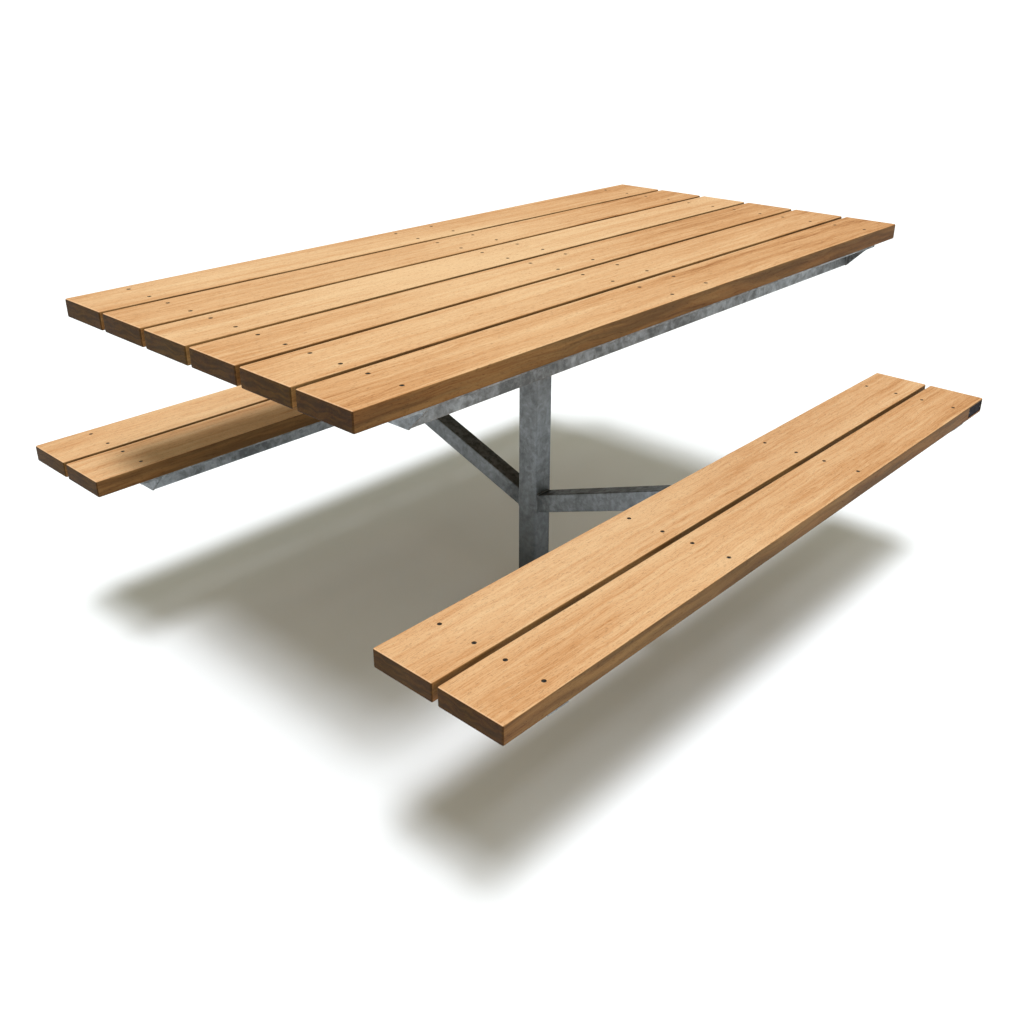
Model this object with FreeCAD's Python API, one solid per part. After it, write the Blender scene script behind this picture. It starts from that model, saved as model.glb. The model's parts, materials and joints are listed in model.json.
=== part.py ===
import FreeCAD, Part
import math
import os

from FreeCAD import Vector

# Picnic table on one post: a six-plank top and two benches on galvanised steel frames.
# Millimetres.  X runs along the planks, Y across them, Z is up.
# The origin is on the ground, under the middle of the post.
# The front bench is at -Y, the rear bench at +Y; left is -X, right is +X.

os.makedirs("parts", exist_ok=True)

# ---------------------------------------------------------------- driving dimensions

# Planks
table_length = 1560.0
table_height = 800.0
table_plank_count = 6
bench_length = 1560.0
bench_height = 450.0
bench_plank_count = 2
bench_table_gap = 8.0          # seen from above, between the tabletop's edge and a bench's inner edge
plank_width = 120.0
plank_gap = 10.0
plank_thickness = 33.0
plank_arris = 3.0              # radius on every plank edge
frame_inset = 4.0              # from the edge of a top back to the angle frame under it

# Rolled steel angle, one leg flat under the planks and one leg hanging
angle_leg = 45.0
angle_thickness = 5.0
angle_root_radius = 7.0
angle_toe_radius = 3.5

# Post
post_side = 50.0
post_wall = 4.0
post_corner_radius = 5.0
post_cap_thickness = 4.0
vent_diameter = 10.0           # lets zinc and air through the closed tubes

# Arms: an inclined tube from the post, then a level seat tube under the bench
arm_width = 40.0
arm_depth = 40.0
arm_wall = 3.0
arm_corner_radius = 4.0
arm_foot_height = 268.0        # height of the arm's centre line at the face of the post
arm_knee_inset = 13.0          # from the bench's inner edge back to the bend in the centre line
seat_tube_cap_thickness = 3.0

# Base
base_side = 220.0
base_thickness = 10.0
base_corner_radius = 15.0
anchor_spacing = 170.0
anchor_hole_diameter = 14.0
base_drain_diameter = 30.0
gusset_reach = 55.0
gusset_height = 65.0
gusset_thickness = 6.0
gusset_toe = 10.0              # square ends of the sloping edge
gusset_clip = 8.0              # cut-off inner corner, clear of the weld round the post

# Screw rows
end_row_inset = 105.0          # from a plank's end to its first row
row_gauge = 27.0               # from an angle's heel to the screw row in its flat leg
screw_edge_distance = 25.0     # from a screw to the plank's long edge
bench_row_count = 4

# Countersunk plank screws, with a washer and a lock nut under the angle
screw_diameter = 4.0
screw_head_diameter = 7.2
screw_sink = 0.6               # from the wood surface down to the top of the head
screw_end = 2.0                # thread showing below the nut
screw_washer_diameter = 9.0
screw_washer_thickness = 0.8
screw_nut_flats = 7.0
screw_nut_height = 5.0
socket_flats = 2.5
socket_depth = 1.2

# Frame bolts through the post and the two middle bearers
bolt_diameter = 8.0
bolt_pitch = 26.0
bolt_drop = 25.0               # from the top of the angles down to the bolts
bolt_head_flats = 13.0
bolt_head_height = 5.3
bolt_washer_diameter = 16.0
bolt_washer_thickness = 1.6
bolt_nut_height = 8.0
bolt_end = 3.0

# Blank plate let into the outer edge of the front bench
plate_length = 70.0
plate_height = 25.0
plate_thickness = 1.5
plate_corner_radius = 2.0
plate_end_inset = 4.0          # from the plank's end to the plate
plate_rise = 4.0               # from the plank's underside to the plate
pin_diameter = 2.5
pin_head_diameter = 4.5
pin_head_height = 0.8
pin_length = 14.0
pin_inset = 5.0

# Clearances, all on the radius or on one side
hole_clearance = 0.25
thread_clearance = 0.05
sink_clearance = 0.2
pocket_clearance = 0.3

# ---------------------------------------------------------------- derived sizes

plank_pitch = plank_width + plank_gap
table_half_width = (table_plank_count * plank_pitch - plank_gap) / 2
bench_width = bench_plank_count * plank_pitch - plank_gap
bench_inner_edge = table_half_width + bench_table_gap
bench_outer_edge = bench_inner_edge + bench_width

table_frame_top = table_height - plank_thickness
bench_frame_top = bench_height - plank_thickness
table_frame_edge = table_half_width - frame_inset
bench_frame_inner_edge = bench_inner_edge + frame_inset
bench_frame_outer_edge = bench_outer_edge - frame_inset

table_end_row = table_length / 2 - end_row_inset
table_middle_row = post_side / 2 + row_gauge
bench_end_row = bench_length / 2 - end_row_inset
bench_row_pitch = 2 * bench_end_row / (bench_row_count - 1)
bench_rows = [row * bench_row_pitch - bench_end_row for row in range(bench_row_count)]
table_rows = [-table_end_row, -table_middle_row, table_middle_row, table_end_row]

arm_level = bench_frame_top - arm_depth / 2
arm_knee = bench_inner_edge - arm_knee_inset
arm_slope = math.atan2(arm_level - arm_foot_height, arm_knee - post_side / 2)

bolt_height = table_frame_top - bolt_drop
bolt_offsets = [-bolt_pitch / 2, bolt_pitch / 2]

screw_offset = plank_width / 2 - screw_edge_distance
screw_head_height = (screw_head_diameter - screw_diameter) / 2

SIDES = {"front": -1, "rear": 1}
HANDS = {"left": -1, "right": 1}
UP = Vector(0, 0, 1)


# ---------------------------------------------------------------- helpers

def export(name, shape):
    """Write one node."""
    shape.exportStep("parts/" + name + ".step")


def box(x0, x1, y0, y1, z0, z1):
    """Box between two corners."""
    return Part.makeBox(x1 - x0, y1 - y0, z1 - z0, Vector(x0, y0, z0))


def rounded_bar(x_size, y_size, length, radius):
    """Bar along +Z from the origin, with rounded long edges, centred on the Z axis."""
    bar = box(-x_size / 2, x_size / 2, -y_size / 2, y_size / 2, 0, length)
    long_edges = [edge for edge in bar.Edges if abs(edge.tangentAt(0).z) > 0.5]
    return bar.makeFillet(radius, long_edges)


def prism(points, direction):
    """Solid swept from a closed outline."""
    outline = Part.makePolygon(points + points[:1])
    return Part.Face(outline).extrude(direction)


def hexagon(flats, height):
    """Hexagonal bar along +Z from the origin."""
    radius = flats / math.sqrt(3)
    corners = [Vector(radius * math.cos(turn), radius * math.sin(turn), 0)
               for turn in (math.radians(60 * corner) for corner in range(6))]
    return prism(corners, UP * height)


def ring(outer_diameter, bore_diameter, height):
    """Flat washer or bushing along +Z from the origin."""
    outer = Part.makeCylinder(outer_diameter / 2, height)
    return outer.cut(Part.makeCylinder(bore_diameter / 2, height))


def placed(shape, x, y, z):
    """Copy of a shape moved to a point."""
    copy = shape.copy()
    copy.translate(Vector(x, y, z))
    return copy


def vertical_holes(diameter, points, z0, z1):
    """Drills for round holes along Z."""
    return [Part.makeCylinder(diameter / 2, z1 - z0, Vector(x, y, z0)) for x, y in points]


def plank_centres(count, inner_edge, side):
    """Y of each plank's centre line, going outwards from the inner edge."""
    return [side * (inner_edge + plank_width / 2 + step * plank_pitch) for step in range(count)]


def screw_points(centres, rows):
    """Plan positions of the two screws that each plank has in each row."""
    return [(x, y + step) for y in centres for x in rows for step in (-screw_offset, screw_offset)]


# ---------------------------------------------------------------- planks and screws

def countersink(x, y, surface):
    """Cutter for one sunk screw: a mouth, a cone and a through hole."""
    head_radius = screw_head_diameter / 2 + sink_clearance
    hole_radius = screw_diameter / 2 + hole_clearance
    cone_depth = head_radius - hole_radius
    mouth = Part.makeCylinder(head_radius, screw_sink, Vector(x, y, surface - screw_sink))
    cone = Part.makeCone(hole_radius, head_radius, cone_depth,
                         Vector(x, y, surface - screw_sink - cone_depth))
    hole = Part.makeCylinder(hole_radius, plank_thickness, Vector(x, y, surface - plank_thickness))
    return mouth.fuse([cone, hole])


def plank(length, centre, rows, surface):
    """One plank with eased edges and its screw holes."""
    board = box(-length / 2, length / 2, centre - plank_width / 2, centre + plank_width / 2,
                surface - plank_thickness, surface)
    board = board.makeFillet(plank_arris, board.Edges)
    return board.cut([countersink(x, y, surface) for x, y in screw_points([centre], rows)])


def screw():
    """Countersunk screw with its head's top at the origin, pointing down."""
    length = plank_thickness - screw_sink + angle_thickness + screw_washer_thickness
    length += screw_nut_height + screw_end
    shank_radius = screw_diameter / 2
    head = Part.makeCone(shank_radius, screw_head_diameter / 2, screw_head_height,
                         Vector(0, 0, -screw_head_height))
    shank = Part.makeCylinder(shank_radius, length - screw_head_height, Vector(0, 0, -length))
    socket = placed(hexagon(socket_flats, socket_depth), 0, 0, -socket_depth)
    return head.fuse(shank).cut(socket)


def export_screws(name, points, surface):
    """Screws, washers and nuts of one top, each kind as one group."""
    washer = ring(screw_washer_diameter, screw_diameter + 2 * hole_clearance, screw_washer_thickness)
    nut_hole = Part.makeCylinder(screw_diameter / 2 + thread_clearance, screw_nut_height)
    nut = hexagon(screw_nut_flats, screw_nut_height).cut(nut_hole)
    washer_z = surface - plank_thickness - angle_thickness - screw_washer_thickness
    kinds = {
        "_screws": (screw(), surface - screw_sink),
        "_screw_washers": (washer, washer_z),
        "_screw_nuts": (nut, washer_z - screw_nut_height),
    }
    for kind, (shape, z) in kinds.items():
        export(name + kind, Part.makeCompound([placed(shape, x, y, z) for x, y in points]))


# ---------------------------------------------------------------- angle frames

def angle_bar(along, start, end, heel, outward, top):
    """Rolled angle from start to end along X or Y.

    heel is where the hanging leg's back stands, and outward (+1 or -1) is the way the flat leg points.
    """
    leg, wall = angle_leg, angle_thickness
    root, toe = angle_root_radius, angle_toe_radius
    bulge = 1 - math.cos(math.radians(45))

    def at(out, up):
        across = heel + outward * out
        if along == "X":
            return Vector(start, across, top + up)
        return Vector(across, start, top + up)

    corners = [
        at(0, 0), at(leg, 0), at(leg, toe - wall), at(leg - toe, -wall), at(wall + root, -wall),
        at(wall, -wall - root), at(wall, toe - leg), at(wall - toe, -leg), at(0, -leg),
    ]
    arc_middles = {
        2: at(leg - bulge * toe, bulge * toe - wall),
        4: at(wall + bulge * root, -wall - bulge * root),
        6: at(wall - bulge * toe, bulge * toe - leg),
    }
    edges = []
    for index, corner in enumerate(corners):
        following = corners[(index + 1) % len(corners)]
        if index in arc_middles:
            edges.append(Part.Arc(corner, arc_middles[index], following).toShape())
        else:
            edges.append(Part.LineSegment(corner, following).toShape())
    direction = Vector(end - start, 0, 0) if along == "X" else Vector(0, end - start, 0)
    return Part.Face(Part.Wire(edges)).extrude(direction)


def mitre_ends(bearer, y_low, y_high, top):
    """Cut both ends of a bearer's hanging leg at 45 degrees, from the flat leg down to the rails."""
    x0, x1 = bearer.BoundBox.XMin, bearer.BoundBox.XMax
    flat_underside = top - angle_thickness
    rise = angle_leg - angle_thickness
    bottom = top - angle_leg
    cutters = []
    for edge, inward in ((y_low, 1), (y_high, -1)):
        corner = Vector(x0, edge, bottom)
        outline = [corner, corner + Vector(0, inward * rise, 0), Vector(x0, edge, flat_underside)]
        cutters.append(prism(outline, Vector(x1 - x0, 0, 0)))
    return bearer.cut(cutters)


def drill_flat_leg(bar, points, top):
    """Screw holes through the flat leg of a bar, where the bar lies under them."""
    diameter = screw_diameter + 2 * hole_clearance
    bounds = bar.BoundBox
    under = [(x, y) for x, y in points
             if bounds.XMin < x < bounds.XMax and bounds.YMin < y < bounds.YMax]
    return bar.cut(vertical_holes(diameter, under, top - angle_thickness, top))


def end_bearers(name, half_length_row, y_low, y_high, points, top):
    """The two bearers at the ends of a top, as wide as its frame."""
    heel = half_length_row - row_gauge
    for hand, sign in HANDS.items():
        bearer = angle_bar("Y", y_low, y_high, sign * heel, sign, top)
        bearer = mitre_ends(bearer, y_low, y_high, top)
        export(name + "_" + hand + "_bearer", drill_flat_leg(bearer, points, top))


# ---------------------------------------------------------------- tabletop

def build_table():
    """Tabletop planks, their frame and fasteners."""
    centres = plank_centres(table_plank_count, -table_half_width, 1)
    points = screw_points(centres, table_rows)
    for number, centre in enumerate(centres, start=1):
        export("table_plank_" + str(number), plank(table_length, centre, table_rows, table_height))
    export_screws("table", points, table_height)

    end_heel = table_end_row - row_gauge
    rail_heel = table_frame_edge - angle_leg
    end_bearers("table", table_end_row, -table_frame_edge, table_frame_edge, points, table_frame_top)
    for name, side in SIDES.items():
        rail = angle_bar("X", -end_heel, end_heel, side * rail_heel, side, table_frame_top)
        export("table_" + name + "_rail", drill_flat_leg(rail, points, table_frame_top))

    bolt_hole_radius = bolt_diameter / 2 + hole_clearance
    for hand, sign in HANDS.items():
        bearer = angle_bar("Y", -rail_heel, rail_heel, sign * post_side / 2, sign, table_frame_top)
        bearer = drill_flat_leg(bearer, points, table_frame_top)
        reach = sign * (post_side / 2 + angle_leg)
        drills = [Part.makeCylinder(bolt_hole_radius, abs(reach), Vector(0, y, bolt_height),
                                    Vector(sign, 0, 0)) for y in bolt_offsets]
        export("table_middle_bearer_" + hand, bearer.cut(drills))


def build_frame_bolts():
    """Bolts along X that clamp the two middle bearers to the post."""
    outer_face = post_side / 2 + angle_thickness
    grip = 2 * outer_face + 2 * bolt_washer_thickness
    length = grip + bolt_nut_height + bolt_end
    head = placed(hexagon(bolt_head_flats, bolt_head_height), 0, 0, -bolt_head_height)
    bolt = head.fuse(Part.makeCylinder(bolt_diameter / 2, length))
    washer = ring(bolt_washer_diameter, bolt_diameter + 2 * hole_clearance, bolt_washer_thickness)
    nut_hole = Part.makeCylinder(bolt_diameter / 2 + thread_clearance, bolt_nut_height)
    nut = hexagon(bolt_head_flats, bolt_nut_height).cut(nut_hole)
    washer_start = outer_face + bolt_washer_thickness

    def group(shape, starts):
        turned = shape.copy()
        turned.rotate(Vector(0, 0, 0), Vector(0, 1, 0), 90)
        return Part.makeCompound([placed(turned, x, y, bolt_height) for x in starts for y in bolt_offsets])

    export("frame_bolts", group(bolt, [-washer_start]))
    export("frame_bolt_washers", group(washer, [-washer_start, outer_face]))
    export("frame_bolt_nuts", group(nut, [washer_start]))


# ---------------------------------------------------------------- benches

def tube(x_size, y_size, wall, radius, length):
    """Hollow bar along +Z from the origin."""
    core = rounded_bar(x_size - 2 * wall, y_size - 2 * wall, length, radius - wall)
    return rounded_bar(x_size, y_size, length, radius).cut(core)


def side_prism(outline, side):
    """Block across the arm from a side view of (distance from the centre, height) corners."""
    corners = [Vector(-arm_width, side * y, z) for y, z in outline]
    return prism(corners, Vector(2 * arm_width, 0, 0))


def build_arm(name, side, tube_end):
    """The inclined arm and the level seat tube, mitred together at the knee."""
    face = post_side / 2
    spare = 2 * arm_depth
    lean = math.degrees(arm_slope)
    mitre_y = spare * math.sin(arm_slope / 2)
    mitre_z = spare * math.cos(arm_slope / 2)
    mitre = [(arm_knee + mitre_y, arm_level - mitre_z), (arm_knee - mitre_y, arm_level + mitre_z)]

    def laid(length, tilt, y, z):
        bar = tube(arm_width, arm_depth, arm_wall, arm_corner_radius, length)
        bar.rotate(Vector(0, 0, 0), Vector(1, 0, 0), side * (tilt - 90))
        return placed(bar, 0, side * y, z)

    arm_length = math.hypot(arm_knee - face, arm_level - arm_foot_height) + 2 * spare
    arm = laid(arm_length, lean, face - spare * math.cos(arm_slope),
               arm_foot_height - spare * math.sin(arm_slope))
    reach = [(face, arm_foot_height - spare), mitre[0], mitre[1], (face, arm_foot_height + spare)]
    export(name + "_arm", arm.common(side_prism(reach, side)))

    level = laid(tube_end - arm_knee + spare, 0, arm_knee - spare, arm_level)
    reach = [mitre[0], (tube_end, mitre[0][1]), (tube_end, mitre[1][1]), mitre[1]]
    export(name + "_seat_tube", level.common(side_prism(reach, side)))

    cap = rounded_bar(arm_width, arm_depth, seat_tube_cap_thickness, arm_corner_radius)
    cap = cap.cut(Part.makeCylinder(vent_diameter / 2, seat_tube_cap_thickness))
    cap.rotate(Vector(0, 0, 0), Vector(1, 0, 0), -side * 90)
    export(name + "_seat_tube_cap", placed(cap, 0, side * tube_end, arm_level))


def plate_place():
    """Middle of the blank plate's outer face, level with the plank's edge."""
    x = bench_length / 2 - plate_end_inset - plate_length / 2
    return Vector(x, -bench_outer_edge, bench_frame_top + plate_rise + plate_height / 2)


def pin_places():
    """Where the two pins enter, on the plank's edge."""
    step = Vector(plate_length / 2 - pin_inset, 0, 0)
    return [plate_place() - step, plate_place() + step]


def sunk_bar(x_size, z_size, radius, middle, y_from, y_to):
    """Rounded bar along Y behind a point on the front bench's outer edge, between two depths."""
    bar = rounded_bar(x_size, z_size, y_to - y_from, radius)
    bar.rotate(Vector(0, 0, 0), Vector(1, 0, 0), -90)
    return placed(bar, middle.x, middle.y + y_from, middle.z)


def plate_pocket():
    """Cutters for the blank plate's pocket and its pin holes."""
    depth = pin_head_height + plate_thickness
    margin = 2 * pocket_clearance
    pocket = sunk_bar(plate_length + margin, plate_height + margin, plate_corner_radius,
                      plate_place(), 0, depth)
    holes = [Part.makeCylinder(pin_diameter / 2 + thread_clearance, pin_length + thread_clearance, place,
                               Vector(0, 1, 0)) for place in pin_places()]
    return [pocket] + holes


def build_plate():
    """Blank plate and its two pins, let into the front bench's outer edge."""
    plate = sunk_bar(plate_length, plate_height, plate_corner_radius, plate_place(),
                     pin_head_height, pin_head_height + plate_thickness)
    inward = Vector(0, 1, 0)
    drills = [Part.makeCylinder(pin_diameter / 2 + thread_clearance, pin_length, place, inward)
              for place in pin_places()]
    export("name_plate", plate.cut(drills))
    pins = []
    for place in pin_places():
        head = Part.makeCylinder(pin_head_diameter / 2, pin_head_height, place, inward)
        shank = Part.makeCylinder(pin_diameter / 2, pin_length, place, inward)
        pins.append(head.fuse(shank))
    export("name_plate_pins", Part.makeCompound(pins))


def build_bench(name, side):
    """One bench: planks, frame, fasteners, arm and seat tube."""
    top = bench_frame_top
    centres = plank_centres(bench_plank_count, bench_inner_edge, side)
    points = screw_points(centres, bench_rows)
    for number, centre in enumerate(centres, start=1):
        board = plank(bench_length, centre, bench_rows, bench_height)
        if name == "front_bench" and number == bench_plank_count:
            board = board.cut(plate_pocket())
        export(name + "_plank_" + str(number), board)
    export_screws(name, points, bench_height)

    inner_heel = bench_frame_inner_edge + angle_leg
    outer_heel = bench_frame_outer_edge - angle_leg
    end_heel = bench_end_row - row_gauge
    rails = {"_inner_rail_": (side * inner_heel, -side), "_outer_rail_": (side * outer_heel, side)}
    for rail_name, (heel, outward) in rails.items():
        for hand, sign in HANDS.items():
            rail = angle_bar("X", sign * arm_width / 2, sign * end_heel, heel, outward, top)
            export(name + rail_name + hand, drill_flat_leg(rail, points, top))

    edges = sorted([side * bench_frame_inner_edge, side * bench_frame_outer_edge])
    end_bearers(name, bench_end_row, edges[0], edges[1], points, top)
    heels = sorted([side * inner_heel, side * outer_heel])
    for hand, row in (("left", bench_rows[1]), ("right", bench_rows[-2])):
        sign = HANDS[hand]
        bearer = angle_bar("Y", heels[0], heels[1], row - sign * row_gauge, sign, top)
        export(name + "_middle_bearer_" + hand, drill_flat_leg(bearer, points, top))

    build_arm(name, side, outer_heel + angle_thickness - seat_tube_cap_thickness)


# ---------------------------------------------------------------- post and base

def build_post():
    """Square tube post and its cap."""
    post_top = table_frame_top - post_cap_thickness
    post = tube(post_side, post_side, post_wall, post_corner_radius, post_top - base_thickness)
    post.translate(UP * base_thickness)
    drills = [Part.makeCylinder(bolt_diameter / 2 + hole_clearance, 2 * post_side,
                                Vector(-post_side, y, bolt_height), Vector(1, 0, 0)) for y in bolt_offsets]
    drills.append(Part.makeCylinder(vent_diameter / 2, 2 * post_side,
                                    Vector(0, -post_side, arm_foot_height), Vector(0, 1, 0)))
    export("post", post.cut(drills))

    cap = rounded_bar(post_side, post_side, post_cap_thickness, post_corner_radius)
    cap = cap.cut(Part.makeCylinder(vent_diameter / 2, post_cap_thickness))
    export("post_cap", placed(cap, 0, 0, post_top))


def build_base():
    """Base plate with four anchor holes and a drain, and the four gussets round the post."""
    plate = rounded_bar(base_side, base_side, base_thickness, base_corner_radius)
    half = anchor_spacing / 2
    anchors = [(x, y) for x in (-half, half) for y in (-half, half)]
    drills = vertical_holes(anchor_hole_diameter, anchors, 0, base_thickness)
    drills += vertical_holes(base_drain_diameter, [(0, 0)], 0, base_thickness)
    export("base_plate", plate.cut(drills))

    outline = [
        (gusset_clip, 0), (gusset_reach, 0), (gusset_reach, gusset_toe),
        (gusset_toe, gusset_height), (0, gusset_height), (0, gusset_clip),
    ]
    corners = [Vector(post_side / 2 + out, -gusset_thickness / 2, base_thickness + up)
               for out, up in outline]
    gussets = []
    for quarter in range(4):
        gusset = prism(corners, Vector(0, gusset_thickness, 0))
        gusset.rotate(Vector(0, 0, 0), UP, 90 * quarter)
        gussets.append(gusset)
    export("base_gussets", Part.makeCompound(gussets))


build_base()
build_post()
build_table()
build_frame_bolts()
for bench_side, bench_sign in SIDES.items():
    build_bench(bench_side + "_bench", bench_sign)
build_plate()
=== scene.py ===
import json
import math

import bmesh
import bpy
from mathutils import Euler, Matrix, Vector, geometry, noise


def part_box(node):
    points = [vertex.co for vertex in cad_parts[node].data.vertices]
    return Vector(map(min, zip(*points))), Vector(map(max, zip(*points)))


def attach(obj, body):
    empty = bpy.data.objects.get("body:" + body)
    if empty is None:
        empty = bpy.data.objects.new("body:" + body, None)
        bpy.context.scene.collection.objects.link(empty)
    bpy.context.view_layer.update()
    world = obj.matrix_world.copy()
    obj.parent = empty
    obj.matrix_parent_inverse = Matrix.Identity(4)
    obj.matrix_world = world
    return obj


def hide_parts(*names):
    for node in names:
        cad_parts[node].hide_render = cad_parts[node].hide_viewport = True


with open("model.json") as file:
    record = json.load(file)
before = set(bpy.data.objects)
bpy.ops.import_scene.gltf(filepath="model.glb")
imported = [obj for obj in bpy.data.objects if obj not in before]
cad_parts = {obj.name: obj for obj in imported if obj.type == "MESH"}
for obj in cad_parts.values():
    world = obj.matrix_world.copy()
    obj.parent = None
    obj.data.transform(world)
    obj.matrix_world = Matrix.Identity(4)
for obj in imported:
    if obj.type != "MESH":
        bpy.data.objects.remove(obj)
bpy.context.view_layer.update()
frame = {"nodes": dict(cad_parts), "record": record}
ROOT = "root"
MM = 0.001
TOUCHING = 0.05 * MM             # vertices nearer than this are on the same seam
MERGED = 0.01 * MM               # vertices nearer than this are one vertex

# ---------------------------------------------------------------- sizes, in metres

TIMBER_ARRIS = 3.0 * MM
TIMBER_ARRIS_STEPS = 4
TIMBER_ARRIS_WANDER = 0.6 * MM
TIMBER_STATION = 24.0 * MM

SCREW_RADIUS = 2.0 * MM
SCREW_HEAD_RADIUS = 3.6 * MM
SCREW_SINK = 0.6 * MM
SINK_MOUTH_RADIUS = 3.8 * MM
SINK_HOLE_RADIUS = 2.25 * MM
SOCKET_RADIUS = 1.35 * MM
SOCKET_LOBE = 0.22 * MM
SOCKET_DEPTH = 1.2 * MM
THREAD_PITCH = 0.7 * MM
THREAD_DEPTH = 0.25 * MM
THREAD_SHOWING = 4.0 * MM

BOLT_RADIUS = 4.0 * MM
BOLT_THREAD_PITCH = 1.25 * MM
BOLT_THREAD_DEPTH = 0.5 * MM
BOLT_THREAD_SHOWING = 5.0 * MM
BORE_CLEARANCE = 0.1 * MM

POCKET_MARGIN = 0.3 * MM
PLATE_CORNER_RADIUS = 2.0 * MM
PLATE_RIM = 1.4 * MM
PLATE_EASE = 0.3 * MM
PLATE_FIELD_DEPTH = 0.3 * MM
PIN_RADIUS = 1.2 * MM

ANGLE_WALL = 5.0 * MM
GUSSET_FROM = 33.0 * MM          # start and end of a gusset's foot, from the post's centre line
GUSSET_TO = 79.0 * MM
GUSSET_HALF_THICKNESS = 3.0 * MM
WELD_RADIUS = 2.5 * MM
WELD_RIPPLE = 2.6 * MM           # length of one ripple along a weld
WELD_RIPPLE_STEPS = 4
WELD_RIPPLE_SHARE = 0.10         # share of the radius that a ripple adds, and that chance adds
WELD_WANDER_SHARE = 0.22
WELD_TIP_SHARE = 0.45            # share of the radius at an open tip, and stations it takes to fill out
WELD_TIP_STATIONS = 5
WELD_CORNERS = 8
KNEE_WELD_RADIUS = 0.45 * WELD_RADIUS
CAP_WELD_RADIUS = 0.40 * WELD_RADIUS
FOOT_WELD_RADIUS = 1.30 * WELD_RADIUS
STEEL_EASE = 0.5 * MM
EASE_ANGLE = 40.0                # steel edges sharper than this are eased
TURN_SEGMENTS = 24
SOCKET_SEGMENTS = 36

BENCHES = ("front_bench", "rear_bench")


def centre_of(node):
    """Middle of a CAD node's box."""
    low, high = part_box(node)
    return (Vector(low) + Vector(high)) / 2


def size_of(node):
    """Size of a CAD node's box."""
    low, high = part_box(node)
    return Vector(high) - Vector(low)


def corners_of(node):
    """Every vertex of a CAD node."""
    return [vertex.co.copy() for vertex in frame["nodes"][node].data.vertices]


# ---------------------------------------------------------------- node graphs

class Graph:
    """Short names for building a shader node tree."""

    def __init__(self, tree):
        self.tree = tree

    def node(self, kind, inputs=None, **settings):
        """A node with some settings, and with its inputs linked or set."""
        made = self.tree.nodes.new(kind)
        for key, value in settings.items():
            setattr(made, key, value)
        for key, value in (inputs or {}).items():
            self.feed(made.inputs[key], value)
        return made

    def feed(self, socket, value):
        """Link an output to a socket, or set the socket's own value."""
        if isinstance(value, bpy.types.NodeSocket):
            self.tree.links.new(value, socket)
        else:
            socket.default_value = value

    def math(self, operation, a, b=0.0):
        """Arithmetic on two values."""
        made = self.node("ShaderNodeMath", operation=operation)
        self.feed(made.inputs[0], a)
        self.feed(made.inputs[1], b)
        return made.outputs[0]

    def vector(self, operation, a, b):
        """Arithmetic on two vectors."""
        made = self.node("ShaderNodeVectorMath", operation=operation)
        self.feed(made.inputs[0], a)
        self.feed(made.inputs[1], b)
        return made.outputs[0]

    def scaled(self, coordinates, scale):
        """Coordinates stretched by a factor on each axis."""
        return self.vector("MULTIPLY", coordinates, scale)

    def noise(self, coordinates, scale, detail, roughness):
        """Noise value, about 0.5."""
        made = self.node("ShaderNodeTexNoise", {
            "Vector": coordinates, "Scale": scale, "Detail": detail, "Roughness": roughness,
        })
        return made.outputs["Fac"]

    def range(self, value, low, high, to_low=0.0, to_high=1.0, smooth=True):
        """A value carried from one range to another, and kept inside it."""
        made = self.node("ShaderNodeMapRange", {
            "Value": value, "From Min": low, "From Max": high, "To Min": to_low, "To Max": to_high,
        }, interpolation_type="SMOOTHSTEP" if smooth else "LINEAR", clamp=True)
        return made.outputs["Result"]

    def mix(self, factor, a, b, blend="MIX"):
        """Colour mix."""
        made = self.node("ShaderNodeMix", data_type="RGBA", blend_type=blend, clamp_factor=True)
        self.feed(made.inputs[0], factor)
        self.feed(made.inputs[6], a)
        self.feed(made.inputs[7], b)
        return made.outputs[2]

    def ramp(self, value, stops):
        """Colour ramp from (position, colour) stops."""
        made = self.node("ShaderNodeValToRGB", {"Fac": value})
        elements = made.color_ramp.elements
        while len(elements) < len(stops):
            elements.new(0.5)
        for element, (position, colour) in zip(elements, stops):
            element.position = position
            element.color = (*colour, 1.0)
        return made.outputs["Color"]

    def bump(self, height, distance, strength):
        """Normal bent by a height."""
        inputs = {"Height": height, "Distance": distance, "Strength": strength}
        return self.node("ShaderNodeBump", inputs).outputs["Normal"]


def new_material(name):
    """A material with only its output, and the graph to fill it."""
    material = bpy.data.materials.new(name)
    material.use_nodes = True
    material.node_tree.nodes.clear()
    return material, Graph(material.node_tree)


def finish_material(graph, inputs):
    """Principled shader with these inputs, wired to the output."""
    shader = graph.node("ShaderNodeBsdfPrincipled", inputs)
    output = graph.node("ShaderNodeOutputMaterial")
    graph.tree.links.new(shader.outputs["BSDF"], output.inputs["Surface"])


def colour(red, green, blue):
    """Linear colour from its 0 to 255 display values."""
    def linear(value):
        value /= 255.0
        return value / 12.92 if value <= 0.04045 else ((value + 0.055) / 1.055) ** 2.4
    return (linear(red), linear(green), linear(blue))


def opaque(rgb):
    """Colour with full alpha."""
    return (*rgb, 1.0)


# ---------------------------------------------------------------- meshes

def loft(rings, ring_of_rings=False):
    """Closed mesh through rings with the same number of points: capped, or joined last to first."""
    mesh = bmesh.new()
    rows = [[mesh.verts.new(point) for point in ring] for ring in rings]
    pairs = list(zip(rows, rows[1:]))
    if ring_of_rings:
        pairs.append((rows[-1], rows[0]))
    count = len(rings[0])
    for row, following in pairs:
        for index in range(count):
            after = (index + 1) % count
            mesh.faces.new((row[index], row[after], following[after], following[index]))
    if not ring_of_rings:
        mesh.faces.new(list(reversed(rows[0])))
        mesh.faces.new(rows[-1])
    bmesh.ops.recalc_face_normals(mesh, faces=mesh.faces)
    return mesh


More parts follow.
